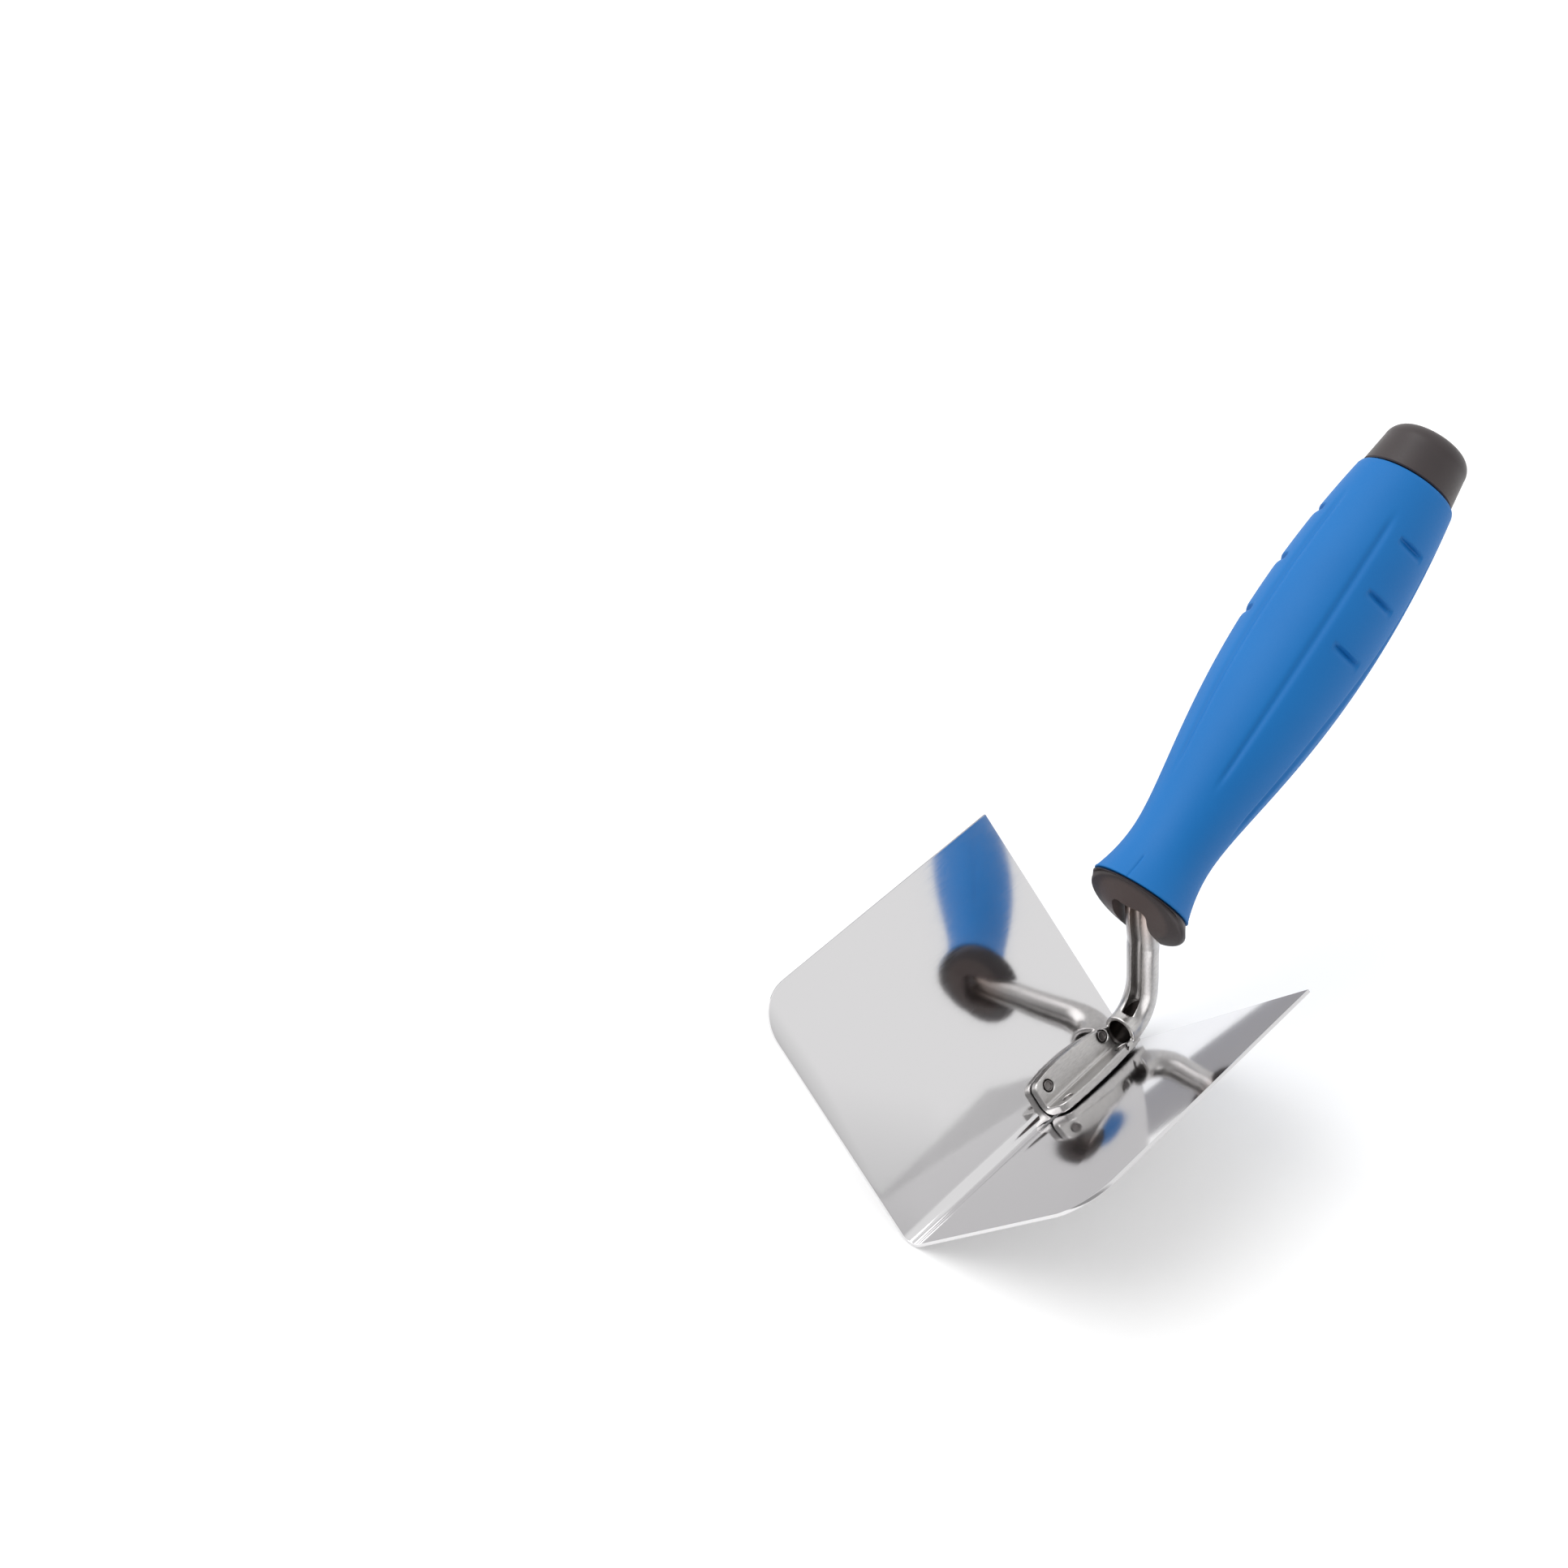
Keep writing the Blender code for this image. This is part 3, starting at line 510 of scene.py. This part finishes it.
def make_blade(made_of):
    blade = start(bpy.ops.mesh.primitive_plane_add, "blade_sheet", size=1, location=(0, 0.5, 0))
    edit()
    bpy.ops.transform.resize(value=(2 * WING_WIDTH, BLADE_LENGTH, 1), center_override=(0, 0, 0))
    bpy.ops.mesh.bisect(plane_co=(0, 0, 0), plane_no=(1, 0, 0))
    settle_in_edit(blade)
    fold(blade, FOLD_RADIUS, 20)
    pick(blade, "verts", lambda v: v.co.y < SAME_POINT and abs(v.co.x) > WING_WIDTH / 2)
    bpy.ops.mesh.bevel(offset=BLADE_CORNER_RADIUS, segments=18, affect="VERTICES", profile=0.5)
    bpy.ops.object.mode_set(mode="OBJECT")
    apply(blade, "SOLIDIFY", thickness=BLADE_THICKNESS, offset=1, use_even_offset=True)
    apply(blade, "BEVEL", width=0.1 * MM, segments=2, limit_method="ANGLE", angle_limit=math.radians(60))
    tidy_normals(blade)
    settle(blade, TOOL_FRAME)
    finish(blade, made_of, "blade")


def settle_in_edit(piece):
    """Applies the place of a primitive that is in edit mode, and goes on editing."""
    bpy.ops.object.mode_set(mode="OBJECT")
    settle(piece)
    edit()
    bpy.ops.mesh.select_all(action="SELECT")


def foot_half_width(y):
    """The foot's side is an arc, widest a little ahead of its middle."""
    return FOOT_WIDTH - FOOT_SIDE_RADIUS + math.sqrt(FOOT_SIDE_RADIUS**2 - (y - FOOT_WIDEST) ** 2)


def make_foot():
    foot = start(
        bpy.ops.mesh.primitive_grid_add, "tang_pressing", x_subdivisions=2, y_subdivisions=FOOT_ROWS,
        size=1, location=(0, 0.5, 0),
    )
    edit()
    bpy.ops.transform.resize(value=(2, FOOT_LENGTH, 1), center_override=(0, 0, 0))
    bpy.ops.transform.translate(value=(0, FOOT_FRONT, 0))
    settle_in_edit(foot)
    inner_line = FOOT_LIFT / math.tan(HALF_FOLD)
    for row in range(FOOT_ROWS + 1):
        y = FOOT_FRONT + FOOT_LENGTH * row / FOOT_ROWS
        pick(foot, "verts", lambda v: abs(v.co.y - y) < SAME_POINT)
        width = foot_half_width(y) - inner_line
        bpy.ops.transform.resize(value=(width, 1, 1), center_override=(0, y, 0))
    pick(foot, "verts", lambda v: v.co.y < FOOT_FRONT + SAME_POINT and abs(v.co.x) > SAME_POINT)
    bpy.ops.mesh.bevel(offset=FOOT_CORNER_CUT, segments=6, affect="VERTICES")
    fold(foot, FOLD_RADIUS - FOOT_LIFT, 10)
    bpy.ops.mesh.select_all(action="SELECT")
    bpy.ops.transform.translate(value=(0, 0, FOOT_LIFT / math.sin(HALF_FOLD)))
    bpy.ops.object.mode_set(mode="OBJECT")
    apply(foot, "SOLIDIFY", thickness=FOOT_THICKNESS, offset=1, use_even_offset=True)
    tidy_normals(foot)
    return foot


def neck_line():
    """The neck's centre line: the bend above the foot, the rise, the turn and the hidden stem."""
    up, back = Vector((0, 0, 1)), Vector((0, 1, 0))
    height = NECK_FOOT.z - MOUTH.z
    bend = interpolate_bezier(
        MOUTH, MOUTH + back * 0.5 * height, NECK_FOOT - up * 0.6 * height, NECK_FOOT, BEND_STEPS + 1
    )
    pull = up * 5 * MM
    rise = interpolate_bezier(NECK_FOOT, NECK_FOOT + pull, NECK_TOP - pull, NECK_TOP, RISE_STEPS + 1)
    on_axis = HANDLE_ROOT + HANDLE_AXIS * STEM_TURN
    turn_start = NECK_TOP + Vector((0, -2.2 * MM, (HANDLE_ROOT.z - NECK_TOP.z) * 0.77))
    into = interpolate_bezier(
        NECK_TOP, turn_start, HANDLE_ROOT - HANDLE_AXIS * MM, on_axis, BEND_STEPS + 1
    )
    stem_end = HANDLE_ROOT + HANDLE_AXIS * STEM_LENGTH
    stem = [on_axis.lerp(stem_end, (i + 1) / STEM_STEPS) for i in range(STEM_STEPS)]
    return bend, rise[1:], into[1:], stem


def make_tang(made_of):
    tang = make_foot()
    bend, rise, into, stem = neck_line()
    points = [*bend, *rise, *into, *stem]
    widths = [NECK_HALF_WIDTH] * len(points)
    shrink = MOUTH_HALF_DEPTH - NECK_HALF_DEPTH
    depths = [MOUTH_HALF_DEPTH - shrink * min(1, i / BEND_STEPS) for i in range(len(points))]
    cut(tang, sweep("neck", points, widths, depths, 48), "UNION")
    hollow = [MOUTH - Vector((0, HOLLOW_AHEAD_OF_MOUTH, 0)), *bend[1 : BEND_STEPS - 3]]
    hollow_depths = [d - NECK_WALL for d in depths[: len(hollow)]]
    cut(tang, sweep("mouth_hollow", hollow, [NECK_HALF_WIDTH - NECK_WALL] * len(hollow), hollow_depths, 32))
    slit = []
    centres = [*bend[4:], *rise, *into[:-2]]
    for before, here, after in zip(centres, centres[1:], centres[2:]):
        along = (after - before).normalized()
        slit.append(here + Vector((0, -along.z, along.y)) * SLIT_AHEAD_OF_CENTRE)
    slit_widths = [SLIT_HALF_WIDTH] * len(slit)
    cut(tang, sweep("neck_slit", slit, slit_widths, [SLIT_HALF_DEPTH] * len(slit), 16))
    for centre, off_wing in weld_places():
        middle = centre + off_wing * (FOOT_LIFT + FOOT_THICKNESS / 2 + MM)
        pocket = start(
            bpy.ops.mesh.primitive_cylinder_add, "weld_pocket", vertices=32,
            radius=WELD_RADIUS + CLEARANCE, depth=FOOT_THICKNESS + OVERSHOOT, location=middle,
            rotation=off_wing.to_track_quat("Z", "Y").to_euler(),
        )
        cut(tang, pocket)
    apply(tang, "REMESH", mode="VOXEL", voxel_size=PRESSED_GRAIN)
    apply(tang, "SMOOTH", factor=0.5, iterations=5)
    settle(tang, TOOL_FRAME)
    finish(tang, made_of, "tang", smooth_angle=70)


def weld_places():
    """Each weld's point on the blade's outer face and the direction off that wing."""
    up_wing = Vector((math.sin(HALF_FOLD), 0, math.cos(HALF_FOLD)))
    off_wing = Vector((-math.cos(HALF_FOLD), 0, math.sin(HALF_FOLD)))
    places = []
    for flip in (Vector((-1, 1, 1)), Vector((1, 1, 1))):
        for y in WELD_ENDS.values():
            places.append((up_wing * WELD_UP_THE_WING * flip + Vector((0, y, 0)), off_wing * flip))
    return places


def make_welds(made_of):
    """Each nugget is a puck with a raised ring round the dish that the electrode left."""
    names = [f"weld_{side}_{end}" for side in ("left", "right") for end in WELD_ENDS]
    height = FOOT_THICKNESS - 0.05 * MM
    edge = WELD_EDGE_ROUNDING
    dish = WELD_DISH_RADIUS
    outline = [
        (0, 0),
        (WELD_RADIUS - 0.1 * MM, 0),
        (WELD_RADIUS, 0.1 * MM),
        *arc((WELD_RADIUS - edge, height - edge), edge, 0, math.pi / 2, 4),
        (dish, height - 0.05 * MM),
        (dish - 0.12 * MM, height - 0.35 * MM),
        (dish * 0.5, height - 0.42 * MM),
        (0, height - 0.38 * MM),
    ]
    for name, (centre, off_wing) in zip(names, weld_places()):
        nugget = lathe(name + "_nugget", outline, 40)
        standing = off_wing.to_track_quat("Z", "Y").to_matrix().to_4x4()
        settle(nugget, TOOL_FRAME @ Matrix.Translation(centre + off_wing * FOOT_LIFT) @ standing)
        finish(nugget, made_of, name)


# ---------------------------------------------------------------- handle


def grip_side():
    """The grip's outer side from front to butt, close enough to carry the grooves."""
    front, waist, belly, butt = (0, 12.1), (13, 9.85), (71, 15.5), (GRIP_LENGTH / MM, 12.2)

    def level(start_point, end_point, steps):
        a, b = (Vector((*p, 0)) * MM for p in (start_point, end_point))
        knee = Vector(((a.x + b.x) / 2, a.y, 0))
        return interpolate_bezier(a, a.lerp(knee, 2 / 3), b.lerp(knee, 2 / 3), b, steps + 1)

    w, b = Vector((*waist, 0)) * MM, Vector((*belly, 0)) * MM
    along = Vector((b.x - w.x, 0, 0))
    flare = level(waist, front, 30)
    swell = interpolate_bezier(w, w + along * 0.2, b - along * 0.5, b, 151)
    fall = level(belly, butt, 145)
    return [(p.y, p.x) for p in [*reversed(flare), *swell[1:], *fall[1:]]]


def groove_depth(height, angle):
    """How deep the sleeve is pressed in. Long grooves frame its top and bottom panels, three
    dimples lie between them on each side, and a short seam runs back from the front end."""
    side = abs(angle)
    radius = 14 * MM
    depth = 0.0
    for centre, start_at, end_at, width, deep in (
        (TOP_GROOVE_ANGLE, 25, 103, 0.8, 0.5),
        (LOWER_GROOVE_ANGLE + LOWER_GROOVE_SWING * smooth((height / MM - 45) / 45), 20, 104, 0.8, 0.55),
    ):
        across = (side - centre) * radius / (width * MM)
        fade = smooth((height / MM - start_at) / 8) * smooth((end_at - height / MM) / 8)
        depth += deep * MM * fade * math.exp(-across * across)
    for i in range(DIMPLE_COUNT):
        middle = DIMPLE_FIRST + DIMPLE_STEP * i
        across = (height - middle) / (DIMPLE_STEEP if height > middle else DIMPLE_SHALLOW)
        along = (side - DIMPLE_ANGLE) * 15.3 * MM / DIMPLE_HALF_LENGTH
        if abs(along) < 1:
            depth += DIMPLE_DEPTH * math.sqrt(1 - along * along) * math.exp(-across * across)
    if side < SEAM_ANGLE:
        across = angle * 12 * MM / SEAM_WIDTH
        depth += SEAM_DEPTH * smooth((SEAM_END - height / MM) / 2) * math.exp(-across * across)
    return depth


def smooth(share):
    share = min(1.0, max(0.0, share))
    return share * share * (3 - 2 * share)


def make_grip(made_of):
    side = grip_side()
    bore = CORE_RADIUS + CLEARANCE
    edge = 0.6 * MM
    butt_round = arc((side[-1][0] - edge, GRIP_LENGTH - edge), edge, 0, math.pi / 2, 5)
    front_round = arc((side[0][0] - 0.3 * MM, 0.3 * MM), 0.3 * MM, -math.pi / 2, 0, 4)
    body = [p for p in side if 0.5 * MM < p[1] < GRIP_LENGTH - 1.2 * edge]
    outline = [(bore, 0), *front_round, *body, *butt_round, (bore, GRIP_LENGTH), (bore, 0)]
    grip = lathe("grip_sleeve_soft", outline, 256)
    for vert in grip.data.vertices:
        radius = math.hypot(vert.co.x, vert.co.y)
        if radius < bore + 0.5 * MM:
            continue
        depth = groove_depth(vert.co.z, math.atan2(vert.co.x, -vert.co.y))
        vert.co.x *= 1 - depth / radius
        vert.co.y *= 1 - depth / radius
    settle(grip, HANDLE_FRAME)
    finish(grip, made_of, "grip_sleeve")


def make_core(made_of):
    """One long extrusion from the spigot's end to the nose's tip."""
    core = start(
        bpy.ops.mesh.primitive_circle_add, "handle_core_moulding", vertices=96, radius=SPIGOT_RADIUS,
        fill_type="NGON", location=(0, 0, GRIP_LENGTH + SPIGOT_LENGTH),
    )
    settle_in_edit(core)
    z = GRIP_LENGTH + SPIGOT_LENGTH
    radius = SPIGOT_RADIUS
    body = [
        (SPIGOT_RADIUS, GRIP_LENGTH), (CORE_RADIUS, GRIP_LENGTH), (CORE_RADIUS, -CLEARANCE),
        (NOSE_BACK_RADIUS - 0.3 * MM, -CLEARANCE), (NOSE_BACK_RADIUS, -CLEARANCE - 0.3 * MM),
    ]
    for next_radius, next_z in body:
        bpy.ops.mesh.extrude_region_move(TRANSFORM_OT_translate={"value": (0, 0, next_z - z)})
        growth = next_radius / radius
        bpy.ops.transform.resize(value=(growth, growth, 1), center_override=(0, 0, next_z))
        z, radius = next_z, next_radius
    ahead = Vector((0, -math.sin(NOSE_FACE_LEAN), -math.cos(NOSE_FACE_LEAN)))
    centre = Vector((0, 0, z))
    edge = arc((NOSE_FACE_RADIUS - NOSE_ROUNDING, 0), NOSE_ROUNDING, 0, math.pi / 2, 8)
    lean = NOSE_FACE_LEAN
    for next_radius, depth in [*edge, (NOSE_TIP_RADIUS, NOSE_TIP_AHEAD), (MM, NOSE_TIP_AHEAD + 0.2 * MM)]:
        next_centre = NOSE_FACE + ahead * depth
        bpy.ops.mesh.extrude_region_move(TRANSFORM_OT_translate={"value": next_centre - centre})
        growth = next_radius / radius
        bpy.ops.transform.resize(value=(growth, growth, growth), center_override=next_centre)
        turn(-lean, "X", next_centre)
        centre, radius, lean = next_centre, next_radius, 0
    bpy.ops.object.mode_set(mode="OBJECT")
    tidy_normals(core)
    slot = start(bpy.ops.mesh.primitive_cube_add, "slot_cutter", size=1)
    edit()
    far = NOSE_FACE_RADIUS + 4 * MM
    size = (2 * SLOT_HALF_WIDTH, far + SLOT_RISE, SLOT_HEIGHT)
    bpy.ops.transform.resize(value=size, center_override=(0, 0, 0))
    bpy.ops.transform.translate(value=(0, (far - SLOT_RISE) / 2, SLOT_MIDDLE))

    def upper_corner(e):
        return abs(e.verts[0].co.z - e.verts[1].co.z) > MM and all(v.co.y < 0 for v in e.verts)

    pick(slot, "edges", upper_corner)
    bpy.ops.mesh.bevel(offset=SLOT_CORNER_CUT, segments=6)
    bpy.ops.object.mode_set(mode="OBJECT")
    cut(core, slot)
    settle(core, HANDLE_FRAME)
    finish(core, made_of, "handle_core", smooth_angle=35)


def make_cap(made_of):
    end = CAP_START + CAP_LENGTH
    rounding = arc((CAP_END_RADIUS - CAP_ROUNDING, end - CAP_ROUNDING), CAP_ROUNDING, math.pi / 2, 0, 14)
    side = [
        (
            CAP_END_RADIUS + (CAP_BASE_RADIUS - CAP_END_RADIUS) * i / 6,
            end - CAP_ROUNDING + (CAP_START + 0.3 * MM - end + CAP_ROUNDING) * i / 6,
        )
        for i in range(1, 7)
    ]
    outline = [(0, end), *rounding, *side, (CAP_BASE_RADIUS - 0.3 * MM, CAP_START), (0, CAP_START)]
    cap = lathe("butt_cap_moulding", outline, 128)
    settle(cap, Matrix.Translation((0, -CAP_RISE, 0)))
    socket = start(
        bpy.ops.mesh.primitive_cylinder_add, "spigot_socket", vertices=64, radius=SPIGOT_RADIUS + CLEARANCE,
        depth=SPIGOT_LENGTH + OVERSHOOT,
        location=(0, 0, GRIP_LENGTH + CLEARANCE + (SPIGOT_LENGTH - OVERSHOOT) / 2),
    )
    cut(cap, socket)
    settle(cap, HANDLE_FRAME)
    finish(cap, made_of, "butt_cap", smooth_angle=35)


# ---------------------------------------------------------------- studio

FLOOR_SIZE = 60
FLOOR_DROP = 0.2 * MM
FLOOR_GLOW = 0.14
TOOL_MIDDLE = Vector((0, 0, 0.04))
SOFTBOX_SIZE = 1.6
SOFTBOX_POWER = 17
SOFTBOX_PLACE = Vector((-0.7, -0.6, 1.5))
TOWARDS_CAMERA = (0.67, -0.74, 0)
# Painted shade: a grey card on the floor behind the left wing, where the wing shades the floor.
PAINTED_SHADE_CARD = [(-0.22, -0.07, MM), (-0.04, -0.07, MM), (-0.22, 0.16, MM), (-0.01, 0.16, MM)]

def make_floor():
    floor = start(
        bpy.ops.mesh.primitive_plane_add, "studio_floor", size=FLOOR_SIZE, location=(0, 0, -FLOOR_DROP)
    )
    made, shader = plain_material("pale_paper", "#F4F4F4", 0.9)
    shader.inputs["Emission Color"].default_value = linear("#FFFFFF")
    shader.inputs["Emission Strength"].default_value = FLOOR_GLOW
    floor.data.materials.append(made)


def make_world():
    """A white room that is darker on the camera's side."""
    world = bpy.data.worlds.new("studio")
    bpy.context.scene.world = world
    world.use_nodes = True
    tree = world.node_tree
    facing = add(tree, "ShaderNodeTexCoord").outputs["Generated"]
    forward = add(tree, "ShaderNodeVectorMath", {0: facing, 1: TOWARDS_CAMERA}, operation="DOT_PRODUCT")
    brightness = add(
        tree, "ShaderNodeMapRange",
        {"Value": forward.outputs["Value"], "From Min": 0.2, "From Max": 0.75, "To Min": 1.0, "To Max": 0.4},
    )
    tree.links.new(brightness.outputs[0], tree.nodes["Background"].inputs["Strength"])
    tree.nodes["Background"].inputs["Color"].default_value = (1, 1, 1, 1)


def make_softbox():
    light = bpy.data.lights.new("overhead_softbox", "AREA")
    light.size = SOFTBOX_SIZE
    light.energy = SOFTBOX_POWER
    lamp = bpy.data.objects.new("overhead_softbox", light)
    bpy.context.scene.collection.objects.link(lamp)
    lamp.location = SOFTBOX_PLACE
    lamp.rotation_euler = (TOOL_MIDDLE - lamp.location).to_track_quat("-Z", "Y").to_euler()


def make_card(name, colour, corners):
    """A card that shows in reflections only: it keeps the white floor out of some of them. It is painted
    shade, a sheet that stands in for floor in shade.
    """
    card = start(bpy.ops.mesh.primitive_plane_add, name, size=MM)
    for vert, corner in zip(card.data.vertices, corners):
        vert.co = corner
    card.data.materials.append(plain_material("matt_" + name, colour, 1.0)[0])
    card.visible_camera = False
    card.visible_diffuse = False
    card.visible_shadow = False


CAMERA_AZIMUTH, CAMERA_ELEVATION, CAMERA_ROLL = (math.radians(a) for a in (42.2, 41.06, -1.52))
CAMERA_PLACE = Vector((259.4, -322.8, 494.7)) * MM
CAMERA_LENS, CAMERA_SENSOR = 67.51, 36


def make_camera():
    """The camera stands to the right of the front, above the blade."""
    azimuth, elevation, roll = CAMERA_AZIMUTH, CAMERA_ELEVATION, CAMERA_ROLL
    level_back = Vector((math.sin(azimuth), -math.cos(azimuth), 0))
    back = level_back * math.cos(elevation) + Vector((0, 0, math.sin(elevation)))
    level = Vector((math.cos(azimuth), math.sin(azimuth), 0))
    right = level * math.cos(roll) + back.cross(level) * math.sin(roll)
    camera = bpy.data.objects.new("camera", bpy.data.cameras.new("camera"))
    bpy.context.scene.collection.objects.link(camera)
    camera.data.lens = CAMERA_LENS
    camera.data.sensor_width = CAMERA_SENSOR
    facing = Matrix((right, back.cross(right), back)).transposed().to_4x4()
    camera.matrix_world = TOOL_FRAME @ Matrix.Translation(CAMERA_PLACE) @ facing
    bpy.context.scene.camera = camera


make_camera()
make_floor()
make_world()
make_softbox()
# Painted shade: the grey card stands in for the shaded floor behind the left wing in the blade's
# reflections.
make_card("painted_floor_shade_card", "#98979A", PAINTED_SHADE_CARD)
make_blade(polished_stainless())
make_tang(pressed_steel())
make_welds(weld_steel())
PLASTIC = hard_plastic()
make_core(PLASTIC)
make_grip(soft_rubber())
make_cap(PLASTIC)

bpy.context.scene.view_settings.view_transform = "Standard"
